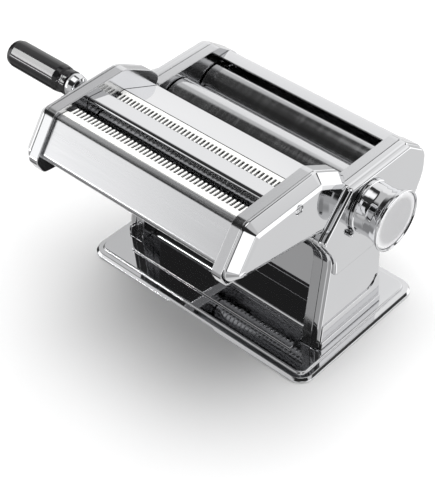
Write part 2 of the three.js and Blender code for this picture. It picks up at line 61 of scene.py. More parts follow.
GAP = 0.3
WALL = 1.2
SIDE_INNER = 76
SIDE_SEAM = 83.5
SIDE_FACE = 93
LEG_FACE = 90
HEAD_BOTTOM = 69
BETWEEN = SIDE_INNER - GAP
BETWEEN_GUIDES = 71.5
ROLLER_HALF = 75
FRONT_AXIS = (4.6, 113.6)
REAR_AXIS = (43.9, 106.6)
GRIP_AXIS = (-46, 129.8)
JOURNAL_BORE = 5.3
BUSH_RADIUS = 8.2
BLOCK_HALF = 8.2
GAP_TRAVEL = 2.4
STUD_PLACE = (-13.2, 100.9)
CHEEK_SCREW = (-67, 155)
HEAD = [
    (63.5, 85.5, 24), (71, 102, 30), (70.5, 122, 14), (49.5, 137, 9),
    (-13, 137, 4), (-40.5, 105.5, 4), (-26.3, 84, 26),
]
FOOT = [(-35.3, 6, 0.6), (36, 6, 0.6), (31.5, 60, 10)]
STAND = FOOT + HEAD
CHEEK_BACK = [
    (-50, 116.5, 6), (-38.5, 113.5, 6), (-11.5, 143.5, 6),
    (-20, 153, 9), (-44, 166.5, 12), (-108.5, 165.5, 9),
]
CHEEK_COVER = [(-128, 136.5, 8), (-121, 128.5, 9)] + CHEEK_BACK
CHEEK_FRAME = [(-128.3, 136, 5), (-122.5, 124.6, 6)] + CHEEK_BACK
CUTTER_AXES = {
    "front_cutter_driven": (-79.3, 141.5), "front_cutter_idle": (-98.5, 141.5),
    "rear_cutter_driven": (-40.2, 136), "rear_cutter_idle": (-59.5, 139),
}

# The cutter slides up along the head's sloping front edge.
SLIDE_START = Vector((-40.5, 105.5))
SLIDE_ALONG = (Vector((-13, 137)) - SLIDE_START).normalized()
SLIDE_INTO = Vector((SLIDE_ALONG.y, -SLIDE_ALONG.x))


def on_slide(along, depth):
    point = SLIDE_START + SLIDE_ALONG * along + SLIDE_INTO * depth
    return (point.x, point.y)


def slide_box(low, high, shallow, deep):
    return [on_slide(low, shallow), on_slide(high, shallow), on_slide(high, deep), on_slide(low, deep)]


# ---- Outlines ------------------------------------------------------------------------------------

def round_corner(before, here, after, radius, steps):
    """The points of an arc that replaces one corner. There are always steps + 1 of them."""
    arriving = (here - before).normalized()
    leaving = (after - here).normalized()
    side = 1 if arriving.x * leaving.y - arriving.y * leaving.x >= 0 else -1
    angle = math.acos(max(-1.0, min(1.0, arriving.dot(leaving))))
    if radius <= 0 or angle < 1e-4 or steps == 0:
        return [here] * (steps + 1)
    start = here - arriving * (radius * math.tan(angle / 2))
    centre = start + Vector((-arriving.y, arriving.x)) * (side * radius)
    spoke = start - centre
    points = []
    for k in range(steps + 1):
        turn = side * angle * k / steps
        c, s = math.cos(turn), math.sin(turn)
        points.append(centre + Vector((spoke.x * c - spoke.y * s, spoke.x * s + spoke.y * c)))
    return points


def outline(corners, inset=0.0, steps=7, least=0.05):
    """A closed anticlockwise outline of corners (u, v, radius), with its edges moved inwards by inset."""
    count = len(corners)
    here = [Vector(corner[:2]) for corner in corners]
    moved, radii = [], []
    for i in range(count):
        arriving = (here[i] - here[i - 1]).normalized()
        leaving = (here[(i + 1) % count] - here[i]).normalized()
        side = 1 if arriving.x * leaving.y - arriving.y * leaving.x >= 0 else -1
        inwards = Vector((-arriving.y - leaving.y, arriving.x + leaving.x))
        moved.append(here[i] + inwards * (inset / (1 + arriving.dot(leaving))))
        radius = corners[i][2] if len(corners[i]) > 2 else 0
        radii.append(max(radius - inset * side, least if radius > least else 0.05))
    points = []
    for i in range(count):
        points += round_corner(moved[i - 1], moved[i], moved[(i + 1) % count], radii[i], steps)
    return points


def path(corners, steps=8):
    """An open path of corners (u, v, radius) with rounded bends."""
    here = [Vector(corner[:2]) for corner in corners]
    points = [here[0]]
    for i in range(1, len(here) - 1):
        points += round_corner(here[i - 1], here[i], here[i + 1], corners[i][2], steps)
    return points + [here[-1]]


def sheet_outline(corners, thickness):
    """The section of a bent sheet whose middle follows a path. Both of its edges are rounded."""
    points = path(corners)
    half = thickness / 2
    near, far = [], []
    for i, point in enumerate(points):
        before = point - points[i - 1] if i > 0 else points[1] - point
        after = points[i + 1] - point if i < len(points) - 1 else before
        arriving, leaving = before.normalized(), after.normalized()
        normal = Vector((-arriving.y - leaving.y, arriving.x + leaving.x)) / (1 + arriving.dot(leaving))
        near.append(point - normal * half)
        far.append(point + normal * half)
    ends = []
    for tip, inner, start in ((points[-1], points[-2], near[-1]), (points[0], points[1], far[0])):
        outwards = (tip - inner).normalized()
        aside = (start - tip).normalized()
        ends.append([
            tip + aside * (half * math.cos(a)) + outwards * (half * math.sin(a))
            for a in (math.pi * k / 6 for k in range(1, 6))
        ])
    return near + ends[0] + far[::-1] + ends[1]


def circle(centre, radius, count=48):
    turn = 2 * math.pi / count
    return [
        Vector((centre[0] + radius * math.cos(k * turn), centre[1] + radius * math.sin(k * turn)))
        for k in range(count)
    ]


# ---- Meshes --------------------------------------------------------------------------------------

def side_view(u, v, along):
    return Vector((along, u, v)) * MM


def plan_view(u, v, along):
    return Vector((u, v, along)) * MM


def bridge(bm, rings, closed=False):
    """Joins rings of equal length with quads. A ring of one vertex is a pole."""
    pairs = list(zip(rings, rings[1:]))
    if closed:
        pairs.append((rings[-1], rings[0]))
    for first, second in pairs:
        count = max(len(first), len(second))
        for i in range(count):
            j = (i + 1) % count
            picks = [(first, i), (first, j), (second, j), (second, i)]
            unique = list(dict.fromkeys(ring[k % len(ring)] for ring, k in picks))
            if len(unique) > 2:
                bm.faces.new(unique)


def fill(bm, loops):
    """Fills a flat face between an outer loop and the holes in it."""
    edges = []
    for loop in loops:
        for i, vertex in enumerate(loop):
            other = loop[(i + 1) % len(loop)]
            edges.append(bm.edges.get((vertex, other)) or bm.edges.new((vertex, other)))
    bmesh.ops.triangle_fill(bm, use_beauty=True, edges=edges)


def ring_at(bm, points, along, place):
    return [bm.verts.new(place(point[0], point[1], along)) for point in points]


def loft(bm, outlines, alongs, place=side_view, holes=(), lip=0.35):
    """A closed body through outlines at the given places. holes are (centre, radius), from end to end."""
    rings = [ring_at(bm, points, along, place) for points, along in zip(outlines, alongs)]
    bridge(bm, rings)
    ends = [[rings[0]], [rings[-1]]]
    inwards = 1 if alongs[-1] > alongs[0] else -1
    for centre, radius in holes:
        levels = [(radius + lip, alongs[0]), (radius, alongs[0] + inwards * lip), (radius, alongs[-1])]
        tube = [ring_at(bm, circle(centre, size), along, place) for size, along in levels]
        bridge(bm, tube)
        ends[0].append(tube[0])
        ends[1].append(tube[-1])
    for loops in ends:
        fill(bm, loops)


def profiled(corners, profile, place=side_view, holes=(), steps=7, least=0.05):
    """A loft of one outline, from a profile of (inset, along). least is its smallest corner radius."""
    bm = bmesh.new()
    rings = [outline(corners, inset, steps, least) for inset, _ in profile]
    loft(bm, rings, [along for _, along in profile], place, holes)
    return bm


def plain_profile(x0, x1, edge=0.2):
    """A slab between two places, with its edges broken."""
    step = edge if x1 > x0 else -edge
    return [(edge, x0), (0, x0 + step), (0, x1 - step), (edge, x1)]


def rounded_edge(bevel, steps=6):
    """A quarter round from a face to its side, as (inset, depth under the face)."""
    angles = [math.pi / 2 * k / steps for k in range(steps + 1)]
    return [(bevel * (1 - math.sin(angle)), bevel * (1 - math.cos(angle))) for angle in angles]


def pan_profile(side, bevel=0.5, edge=0.3):
    """A side frame's open pan: a face with a rounded edge, a wall back to the rim, and the inside."""
    face, rim, wall = SIDE_INNER, SIDE_SEAM, WALL
    arc = [(inset, face + depth) for inset, depth in rounded_edge(bevel)]
    back = [
        (0, rim - edge), (edge, rim), (wall - edge, rim), (wall, rim - edge),
        (wall, face + wall + bevel), (wall + bevel, face + wall),
    ]
    return [(inset, side * along) for inset, along in arc + back]


def cover_profile(side):
    """A cheek's cover: a flat face, a soft slope, a crease, a wide chamfer, the wall and the inside."""
    rim = SIDE_SEAM + GAP
    points = [
        (9.3, SIDE_FACE), (8.8, SIDE_FACE, 4), (5.7, 91.9, 2), (0, 85.6, 1.6), (0, rim, 0.3),
        (WALL, rim, 0.3), (WALL, 85.2, 0.5), (6.4, 90.2, 1), (9.3, SIDE_FACE - WALL),
    ]
    return [(point.x, side * point.y) for point in softened(points, 0.3, False)]


def slab(points, x0, x1, edge=0.2):
    """A flat piece with this outline, whose corners stay sharp."""
    return profiled([(point[0], point[1]) for point in points], plain_profile(x0, x1, edge), steps=0)


def softened(profile, fillet, closed):
    """A profile with its corners rounded. Points are (radius, along) or (radius, along, fillet)."""
    corners = [Vector(point[:2]) for point in profile]
    radii = [point[2] if len(point) > 2 else fillet for point in profile]
    count = len(corners)
    points = []
    for i, corner in enumerate(corners):
        if not closed and i in (0, count - 1):
            points.append(corner)
            continue
        before, after = corners[i - 1], corners[(i + 1) % count]
        room = 0.45 * min((corner - before).length, (after - corner).length)
        angle = (corner - before).angle(after - corner, 0)
        radius = min(radii[i], room / max(math.tan(angle / 2), 1e-3))
        points += round_corner(before, corner, after, radius, 3)
    return points


def turned(profile, centre, segments=96, place=None, fillet=0.25):
    """A round body from a profile of (radius, along), about an X axis at (y, z) or where place puts it."""
    put = place or (lambda a, b, along: Vector((along, centre[0] + a, centre[1] + b)) * MM)
    closed = profile[0][0] > 0 and profile[-1][0] > 0
    bm = bmesh.new()
    rings = []
    for radius, along in softened(profile, fillet, closed):
        points = [(0, 0)] if radius < 1e-6 else circle((0, 0), radius, segments)
        rings.append(ring_at(bm, points, along, put))
    bridge(bm, rings, closed)
    return bm


def swept(points, radius, segments=32, ease=0.8):
    """A round rod along a path of points, with its ends eased."""
    bm = bmesh.new()
    count = len(points)
    normal = Vector((0, 0, 1))
    rings = []
    for i, point in enumerate(points):
        tangent = (points[min(i + 1, count - 1)] - points[max(i - 1, 0)]).normalized()
        normal = (normal - tangent * normal.dot(tangent)).normalized()
        across = tangent.cross(normal)
        size = radius if 0 < i < count - 1 else radius - ease
        rings.append([
            bm.verts.new((point + normal * (size * c.x) + across * (size * c.y)) * MM)
            for c in circle((0, 0), 1, segments)
        ])
    bridge(bm, rings)
    bm.faces.new(rings[0])
    bm.faces.new(rings[-1])
    return bm


def merged(parts):
    """Several meshes as one."""
    whole = bmesh.new()
    for part in parts:
        mesh = bpy.data.meshes.new("part")
        part.to_mesh(mesh)
        whole.from_mesh(mesh)
        bpy.data.meshes.remove(mesh)
        part.free()
    return whole


def make_object(name, bm):
    """An object in the scene with this mesh."""
    mesh = bpy.data.meshes.new(name)
    bm.to_mesh(mesh)
    bm.free()
    made = bpy.data.objects.new(name, mesh)
    bpy.context.scene.collection.objects.link(made)
    return made


def boolean(bm, tool, operation):
    """One closed mesh joined with, or cut by, another."""
    for source in (bm, tool):
        bmesh.ops.recalc_face_normals(source, faces=source.faces[:])
    operands = [make_object("operand", bm), make_object("operand", tool)]
    modifier = operands[0].modifiers.new("boolean", "BOOLEAN")
    modifier.operation = operation
    modifier.solver = "EXACT"
    modifier.object = operands[1]
    view = bpy.context.evaluated_depsgraph_get()
    result = bmesh.new()
    result.from_mesh(operands[0].evaluated_get(view).data)
    for made in operands:
        mesh = made.data
        bpy.data.objects.remove(made)
        bpy.data.meshes.remove(mesh)
    return result


# ---- Materials -----------------------------------------------------------------------------------

def add_noise(nodes, links, coordinates, scale, stretch, detail=4.0):
    mapping = nodes.new("ShaderNodeMapping")
    mapping.inputs["Scale"].default_value = stretch
    links.new(coordinates, mapping.inputs["Vector"])
    noise = nodes.new("ShaderNodeTexNoise")
    noise.inputs["Scale"].default_value = scale
    noise.inputs["Detail"].default_value = detail
    links.new(mapping.outputs["Vector"], noise.inputs["Vector"])
    return noise.outputs["Fac"]


def add_tint(nodes, links, shader, noise, tints):
    tint = nodes.new("ShaderNodeMix")
    tint.data_type = "RGBA"
    tint.inputs["A"].default_value = (*tints[0], 1)
    tint.inputs["B"].default_value = (*tints[1], 1)
    links.new(noise, tint.inputs["Factor"])
    links.new(tint.outputs["Result"], shader.inputs["Base Color"])


def add_polish(nodes, links, shader, noise, roughness):
    polish = nodes.new("ShaderNodeMapRange")
    polish.inputs["From Min"].default_value = 0.3
    polish.inputs["From Max"].default_value = 0.7
    polish.inputs["To Min"].default_value = roughness[0]
    polish.inputs["To Max"].default_value = roughness[1]
    links.new(noise, polish.inputs["Value"])
    links.new(polish.outputs["Result"], shader.inputs["Roughness"])


def add_bumps(nodes, links, shader, layers):
    """Layers of (noise, height in mm), each on top of the one before."""
    previous = None
    for noise, height in layers:
        bump = nodes.new("ShaderNodeBump")
        bump.inputs["Strength"].default_value = 1.0
        bump.inputs["Distance"].default_value = height * MM
        links.new(noise, bump.inputs["Height"])
        if previous:
            links.new(previous, bump.inputs["Normal"])
        previous = bump.outputs["Normal"]
    links.new(previous, shader.inputs["Normal"])


def make_material(name, tints, roughness, wave, grain, stretch=(1, 1, 1), metallic=1, specular=0.5):
    """A finish with uneven tint and polish. wave and grain are the (scale, height in mm) of its bumps."""
    material = bpy.data.materials.new(name)
    material.use_nodes = True
    nodes, links = material.node_tree.nodes, material.node_tree.links
    shader = nodes["Principled BSDF"]
    shader.inputs["Metallic"].default_value = metallic
    shader.inputs["Specular IOR Level"].default_value = specular
    place = nodes.new("ShaderNodeTexCoord").outputs["Object"]
    broad = add_noise(nodes, links, place, wave[0], (1, 1, 1), 2.0)
    fine = add_noise(nodes, links, place, grain[0], stretch)
    add_tint(nodes, links, shader, broad, tints)
    add_polish(nodes, links, shader, fine, roughness)
    add_bumps(nodes, links, shader, [(broad, wave[1]), (fine, grain[1])])
    return material


def scaled(nodes, links, value, low, high):
    """A smooth 0 to 1 as value goes from low to high."""
    scale = nodes.new("ShaderNodeMapRange")
    scale.interpolation_type = "SMOOTHSTEP"
    scale.inputs["From Min"].default_value = low
    scale.inputs["From Max"].default_value = high
    links.new(value, scale.inputs["Value"])
    return scale.outputs["Result"]


def paint_rim_highlight(material, centre, radii, colour):
    """Paints a highlight ring on a finish: fades it to another colour between two distances from an X axis
    at (y, z), given in mm.
    """
    nodes, links = material.node_tree.nodes, material.node_tree.links
    split = nodes.new("ShaderNodeSeparateXYZ")
    links.new(nodes.new("ShaderNodeTexCoord").outputs["Object"], split.inputs["Vector"])
    flat = nodes.new("ShaderNodeCombineXYZ")
    links.new(split.outputs["Y"], flat.inputs["Y"])
    links.new(split.outputs["Z"], flat.inputs["Z"])
    distance = nodes.new("ShaderNodeVectorMath")
    distance.operation = "DISTANCE"
    distance.inputs[1].default_value = Vector((0, *centre)) * MM
    links.new(flat.outputs["Vector"], distance.inputs[0])
    fade = scaled(nodes, links, distance.outputs["Value"], radii[0] * MM, radii[1] * MM)
    shader = nodes["Principled BSDF"].inputs["Base Color"]
    mix = nodes.new("ShaderNodeMix")
    mix.data_type = "RGBA"
    mix.inputs["B"].default_value = (*colour, 1)
    links.new(shader.links[0].from_socket, mix.inputs["A"])
    links.new(fade, mix.inputs["Factor"])
    links.new(mix.outputs["Result"], shader)


CHROME_TINTS = ((0.60, 0.605, 0.615), (0.64, 0.64, 0.65))

# By the record's material slots, and two more that single pieces ask for: soft_chrome and satin_chrome.
FINISHES = {
    "polished_chrome": make_material(
        "mirror_chrome", CHROME_TINTS, (0.02, 0.045), wave=(14, 0.0015), grain=(260, 0.00002)),
    "soft_chrome": make_material(
        "soft_chrome", CHROME_TINTS, (0.02, 0.035), wave=(14, 0.0015), grain=(260, 0.00002)),
    "satin_chrome": make_material(
        "satin_chrome", ((0.54, 0.545, 0.555), (0.58, 0.58, 0.59)), (0.2, 0.28),
        wave=(14, 0.004), grain=(400, 0.00003), stretch=(0.03, 1, 1)),
    "polished_steel": make_material(
        "fine_polished_steel", ((0.54, 0.545, 0.555), (0.60, 0.60, 0.61)), (0.1, 0.17),
        wave=(22, 0.0015), grain=(400, 0.00003), stretch=(1, 0.03, 0.03)),
    "plain_steel": make_material(
        "turned_steel", ((0.40, 0.41, 0.43), (0.50, 0.51, 0.53)), (0.26, 0.4),
        wave=(60, 0.004), grain=(1100, 0.0006), stretch=(1, 0.05, 0.05)),
    "satin_disc": make_material(
        "satin_aluminium", ((0.58, 0.58, 0.59), (0.62, 0.62, 0.63)), (0.38, 0.5),
        wave=(40, 0.004), grain=(1500, 0.001), metallic=0.6),
    "bearing_brass": make_material(
        "bearing_brass", ((0.62, 0.47, 0.20), (0.72, 0.57, 0.28)), (0.25, 0.4),
        wave=(50, 0.01), grain=(900, 0.002)),
    "grip_plastic": make_material(
        "gloss_black_plastic", ((0.006, 0.006, 0.006), (0.011, 0.011, 0.012)), (0.05, 0.08),
        wave=(60, 0.004), grain=(1200, 0.0002), metallic=0, specular=0.4),
    "comb_plastic": make_material(
        "white_plastic", ((0.82, 0.82, 0.80), (0.88, 0.88, 0.86)), (0.28, 0.4),
        wave=(60, 0.01), grain=(900, 0.001), metallic=0),
    "scraper_plastic": make_material(
        "matt_black_plastic", ((0.03, 0.03, 0.033), (0.05, 0.05, 0.055)), (0.45, 0.6),
        wave=(60, 0.01), grain=(2000, 0.004), metallic=0),
    "foot_rubber": make_material(
        "foot_rubber", ((0.022, 0.022, 0.023), (0.035, 0.035, 0.036)), (0.7, 0.85),
        wave=(90, 0.02), grain=(2500, 0.01), metallic=0),
}

# Painted highlight: the knob disc's colour turns near white towards its rim, in place of the bright ring
# of light on it.
paint_rim_highlight(FINISHES["satin_disc"], FRONT_AXIS, (15, 19.6), (0.95, 0.95, 0.96))


# ---- Pieces --------------------------------------------------------------------------------------

def add(bm, *nodes, finish=None):
    """Makes the shown piece for these CAD nodes. It rides with the first one's body."""
    bmesh.ops.remove_doubles(bm, verts=bm.verts[:], dist=1e-6)
    bmesh.ops.recalc_face_normals(bm, faces=bm.faces[:])
    made = make_object(f"{nodes[0]}_piece", bm)
    made.data.shade_smooth()
    made.data.set_sharp_from_angle(angle=SHARP_ANGLE)
    made.data.materials.append(FINISHES[finish or slot_of_node[nodes[0]]])
    weighted = made.modifiers.new("flat faces stay flat", "WEIGHTED_NORMAL")
    weighted.keep_sharp = True
    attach(made, body_of_node[nodes[0]])
    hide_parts(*nodes)
    return made


def block(xs, ys, zs):
    corners = [(ys[0], zs[0]), (ys[1], zs[0]), (ys[1], zs[1]), (ys[0], zs[1])]
    return slab(corners, xs[0], xs[1], 0.01)


def add_base():
    x, y, corner = 102, 65, 12
    corners = [(-x, -y, corner), (x, -y, corner), (x, y, corner), (-x, y, corner)]
    raised_middle = [(6.6, 5.5), (6.1, 5.44), (5.75, 5.25), (5.52, 4.9)]
    rim_step = [(5.5, 4.5), (5.4, 4.15), (5.15, 3.9), (4.8, 3.8), (1.95, 3.8), (1.7, 3.74), (1.5, 3.6)]
    rim = [(0.2, 1.95), (0.05, 1.7), (0, 1.4), (0, 1.1), (0.3, 0.8), (0.9, 0.8), (1.2, 1.1)]
    under = [(1.2, 2.6), (6.7, 2.6), (6.7, 4.3)]
    profile = raised_middle + rim_step + rim + under
    plate = profiled(corners, profile, plan_view, steps=12)
    notch = block((-22, 22), (-67, -61.5), (0, 2.4))
    add(boolean(plate, notch, "DIFFERENCE"), "base_plate", finish="soft_chrome")


def upright(name, profile, x, y):
    add(turned(profile, (0, 0), 48, lambda a, b, z: Vector((x + a, y + b, z)) * MM), name)


def add_feet_and_screws():
    foot = [(0, 0), (6.2, 0), (7, 0.8, 0.5), (7, 4), (0, 4)]
    screw = [
        (0, 2.6), (1.5, 2.6, 0), (1.5, 1.8, 0.1), (3.3, 1.8), (3.6, 2.2),
        (3.6, 4), (2, 4, 0), (2, 12), (0, 12),
    ]
    for end, foot_y, screw_y in (("front", -48, -26), ("back", 48, 20)):
        for hand, side in SIDES:
            upright(f"foot_{end}_{hand}", foot, side * 66, foot_y)
            upright(f"stand_screw_{end}_{hand}", screw, side * 84.5, screw_y)


def gap_block(low, high, half):
    """The corners of a block at the front roller, between two distances along the way that it slides."""
    way = (Vector(REAR_AXIS) - Vector(FRONT_AXIS)).normalized()
    across = Vector((-way.y, way.x))
    spots = [(low, -half), (high, -half), (high, half), (low, half)]
    return [(*(Vector(FRONT_AXIS) + way * along + across * aside), 1) for along, aside in spots]


def add_side_frame(hand, side):
    """A pan with its two bearing openings, and the bent guide that a cheek's tongue slides in."""
    pan = profiled(STAND, pan_profile(side), holes=[(REAR_AXIS, BUSH_RADIUS + GAP)])
    room = BLOCK_HALF + GAP
    before_face, behind_face = side * (SIDE_INNER - 2), side * (SIDE_INNER + 3)
    opening = gap_block(-room, room + GAP_TRAVEL, room)
    pan = boolean(pan, profiled(opening, [(0, before_face), (0, behind_face)]), "DIFFERENCE")
    low, high, shallow, deep = 3, 34, 1, 8.1
    inner, outer = 71.9, 76.1
    web = slab(slide_box(low, high, deep - WALL, deep), side * inner, side * outer)
    lip = slab(slide_box(low, high, shallow, deep), side * inner, side * (inner + WALL))
    add(merged([pan, web, lip]), f"{hand}_side_frame")


# Steps at the foot of a side cover, each with the height of its face.
SKIRT = [
    (91.1, [(-33.3, 6.02, 0.4), (33.9, 6.02, 0.4), (31.1, 38, 2), (24.5, 25.4, 9), (-31.1, 25.4, 1)]),
    (92.2, [(-33.3, 6.01, 0.4), (33.9, 6.01, 0.4), (33.4, 12, 1), (-32.6, 12, 1)]),
]


def step_profile(root, face, bevel, side):
    """A raised step on a cover's face, with a rounded upper edge."""
    arc = [(inset, face - depth) for inset, depth in rounded_edge(bevel)]
    return [(inset, side * along) for inset, along in arc + [(0, root)]]


def shell_profile(face, slope, bevel, side):
    """A pressed shell: a flat face, an edge that slopes to the seam, and the inside."""
    rim = SIDE_SEAM + GAP
    points = [
        (slope + 1, face), (slope, face, bevel), (0, face - bevel, bevel), (0, rim, 0.6),
        (WALL, rim, 0.3), (WALL, face - bevel - WALL, 0.5), (slope + 1, face - WALL - 0.4),
    ]
    return [(point.x, side * point.y) for point in softened(points, 0.3, False)]


# The raised plate on a side cover's head, a little inside the cover's own edge.
HEAD_PLATE = [
    (-24.6, HEAD_BOTTOM, 3), (41.2, HEAD_BOTTOM, 2), (62.7, 86.1, 23), (69.9, 102.1, 29),
    (69.4, 121.4, 13), (49, 135.9, 8), (-12.5, 135.9, 4), (-39.2, 105.3, 4), (-25.1, 84.1, 27),
]


def bored(bm, centre, radius, side):
    """A cover with a round hole through its face."""
    low, high = sorted((side * (SIDE_FACE - 5), side * (SIDE_FACE + 1)))
    drill = turned([(0, low), (radius, low), (radius, high), (0, high)], centre, 64)
    return boolean(bm, drill, "DIFFERENCE")


def add_side_cover(hand, side):
    holes = [(FRONT_AXIS, JOURNAL_BORE), (STUD_PLACE, 1.8)] if side > 0 else [(REAR_AXIS, 7.5)]
    root = LEG_FACE - 0.9
    cover = profiled(STAND, shell_profile(LEG_FACE, 1.9, 1.8, side), steps=10)
    head = profiled(HEAD_PLATE, step_profile(root, SIDE_FACE, 2.2, side), steps=10, least=2)
    cover = boolean(cover, head, "UNION")
    for face, corners in SKIRT:
        step = profiled(corners, step_profile(root, face, 0.8, side))
        cover = boolean(cover, step, "UNION")
    for centre, radius in holes:
        cover = bored(cover, centre, radius, side)
    add(cover, f"{hand}_side_cover")


def add_sheet(name, corners, half, thickness=WALL, finish=None):
    add(slab(sheet_outline(corners, thickness), -half, half), name, finish=finish)


def add_front_cover():
    lower = [(-46, 6.4, 0), (-24, 6.4, 3), (-24, 84, 3), (-29, 92.8, 0)]
    upper = [(-25, 85.8, 0), (*on_slide(3, 2.5), 3), (*on_slide(30, 2.5), 0)]
    parts = [
        slab(sheet_outline(lower, WALL), -BETWEEN, BETWEEN),
        slab(sheet_outline(upper, WALL), -BETWEEN_GUIDES, BETWEEN_GUIDES),
    ]
    add(merged(parts), "front_cover", finish="soft_chrome")


def add_stand_sheets():
    add_front_cover()
    add_sheet("rear_hood", [(50, 128.5, 0), (60.5, 128.5, 4), (64.2, 124, 4), (64.2, 95, 0)], BETWEEN)
    add_sheet("front_scraper", [(9, 77, 0), (9, 87, 3), (15.3, 95, 0)], BETWEEN, 0.8)
    add_sheet("rear_scraper", [(37, 74, 0), (37, 83, 3), (33.6, 90, 0)], BETWEEN, 0.8)


def add_tie_rod(name, radius, centre):
    profile = [(0, -BETWEEN), (radius, -BETWEEN), (radius, BETWEEN), (0, BETWEEN)]
    add(turned(profile, centre, 48, fillet=0.5), name)


def roller_profile(radius, journal, left_end, right_end, lands=()):
    """A roller with a journal at each end. lands are the (from, to) bands between its grooves, if any."""
    half = ROLLER_HALF
    if lands:
        groove = radius - 1.1
        body = [(groove, -half, 0)]
        for low, high in lands:
            body += [(groove, low, 0), (radius, low, 0.08), (radius, high, 0.08), (groove, high, 0)]
        body.append((groove, half, 0))
    else:
        edge = 0.5
        body = [
            (radius - edge, -half), (radius, edge - half), (radius, half - edge), (radius - edge, half),
        ]
    ends = [(0, left_end), (journal, left_end), (journal, -half)]
    return ends + body + [(journal, half), (journal, right_end), (0, right_end)]


def add_stand_rollers():
    radius, journal = 18.5, 5
    add(turned(roller_profile(radius, journal, -82.8, 79), FRONT_AXIS, 128), "front_roller")
    add(turned(roller_profile(radius, journal, -83.6, 82.8), REAR_AXIS, 128), "rear_roller")


def band_lands(pitch, offset):
    """Evenly spaced lands along a cutter roller, each half a pitch wide."""
    low = -ROLLER_HALF + 0.6 + offset
    lands = []
    while low + pitch / 2 < ROLLER_HALF - 0.4:
        lands.append((low, low + pitch / 2))
        low += pitch
    return lands


def add_cutter_rollers():
    radius, journal, end = 9.4, 3, 83.3
    pitches = {"front": 4.0, "rear": 13.0}
    for name, axis in CUTTER_AXES.items():
        pair, _, role = name.split("_")
        pitch = pitches[pair]
        lands = band_lands(pitch, 0 if role == "driven" else pitch / 2)
        add(turned(roller_profile(radius, journal, -end, end, lands), axis, 64), f"{name}_roller")


def add_crank_socket():
    outer, bore = 7, 4.7
    back, floor, mouth = -83.9, -85, -90
    profile = [
        (0, back), (outer, back), (outer, mouth), (bore + 0.4, mouth), (bore, mouth + 0.6),
        (bore, floor), (0, floor),
    ]
    add(turned(profile, REAR_AXIS, 48), "crank_socket")


def add_bearings():
    bore = JOURNAL_BORE
    corners = gap_block(-BLOCK_HALF, BLOCK_HALF, BLOCK_HALF)
    for hand, side in SIDES:
        near, far = side * 75.4, side * 78.1
        bush = [(bore, near), (BUSH_RADIUS, near), (BUSH_RADIUS, far), (bore, far)]
        add(turned(bush, REAR_AXIS, 64), f"{hand}_rear_bush")
        sliding = profiled(corners, plain_profile(near, far), holes=[(FRONT_AXIS, bore)])
        add(sliding, f"{hand}_sliding_bearing")


def add_spring():
    """The knob's return spring: a coil of wire about the front axis."""
    low, high, pull = 98.3, 108.7, 6
    radius, wire, turns, steps = 7, 0.55, 3, 28
    count = turns * steps
    y, z = FRONT_AXIS
    points = []
    for k in range(count + 1):
        angle = 2 * math.pi * k / steps
        along = low + wire + (high - low - 2 * wire) * k / count
        points.append(Vector((along, y + radius * math.cos(angle), z + radius * math.sin(angle))))
    spring = add(swept(points, wire, 12, ease=0.15), "knob_spring")
    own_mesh(spring)


def add_knob():
    body = [
        (JOURNAL_BORE, 93.3), (19.6, 93.3, 0.4), (19.6, 95.8, 0.6), (18.6, 96.3, 0.3), (18.4, 99.6, 3),
        (18.2, 104, 8), (19, 109, 8), (20.8, 113.6, 6), (22.3, 115.8, 1.2), (22.1, 116.9, 0.5),
        (21.2, 117.4, 0.3), (20.8, 116.2, 0.4), (20.8, 115, 0), (9.2, 115, 0), (9.2, 98, 0),
        (JOURNAL_BORE, 98, 0),
    ]
    add(turned(body, FRONT_AXIS, 128), "knob_body")
    disc = [(0, 115.3), (20.5, 115.3), (20.5, 115.9, 0.3), (19.6, 116.2, 0.5), (0, 116.2)]
    add(turned(disc, FRONT_AXIS, 128), "knob_disc")
    stud = [(0, 89), (1.5, 89), (1.5, 93.3, 0), (2.2, 93.3), (2.2, 95.2, 1), (1.6, 96.4, 1), (0, 96.9)]
    add(turned(stud, STUD_PLACE, 48), "index_stud")


def crank_path():
    """The middle of the bent rod: out of the hub, along the arm, and out again through the grip."""
    hub, hand = Vector((0, *REAR_AXIS)), Vector((0, *GRIP_AXIS))
    reach = (hand - hub).normalized()
    arm, bow, tip = -110, 9, -183.4

    def at(point, x, along=0.0):
        return Vector((x, point.y, point.z)) + reach * along

    def straight(start, end, count):
        return [start.lerp(end, k / count) for k in range(count)]

    def bend(start, corner, end, count=14):
        shares = [k / count for k in range(count)]
        return [start.lerp(corner, share).lerp(corner.lerp(end, share), share) for share in shares]

    points = [at(hub, -85.4), at(hub, -86.0)]
    points += straight(at(hub, -87), at(hub, arm + bow), 8)
    points += bend(at(hub, arm + bow), at(hub, arm), at(hub, arm, bow))
    points += straight(at(hub, arm, bow), at(hand, arm, -bow), 20)
    points += bend(at(hand, arm, -bow), at(hand, arm), at(hand, arm - bow))
    points += straight(at(hand, arm - bow), at(hand, tip), 20)
    return points + [at(hand, tip), at(hand, tip - 0.6)]


def add_crank():
    add(swept(crank_path(), 4.2), "crank_rod")
    ferrule = [
        (4.5, -127.7), (8.8, -127.7), (9.2, -125.5, 1), (8.2, -121.2, 2), (5.6, -119.6, 0.8),
        (4.5, -119.6, 0.2),
    ]
    add(turned(ferrule, GRIP_AXIS, 96), "grip_ferrule")
    grip = [
        (4.5, -128), (8.8, -128, 0.4), (9.4, -129, 0.5), (9.4, -132.6, 0.5), (8.4, -133.6, 0.4),
        (8.4, -135, 0.4), (9.7, -136.2, 0.8), (10.3, -140, 4), (10.3, -183.4, 6), (9.5, -187, 3),
        (7, -189.3, 3), (0, -190), (0, -184.6), (4.5, -184.6, 0),
    ]
    add(turned(grip, GRIP_AXIS, 96), "crank_grip")


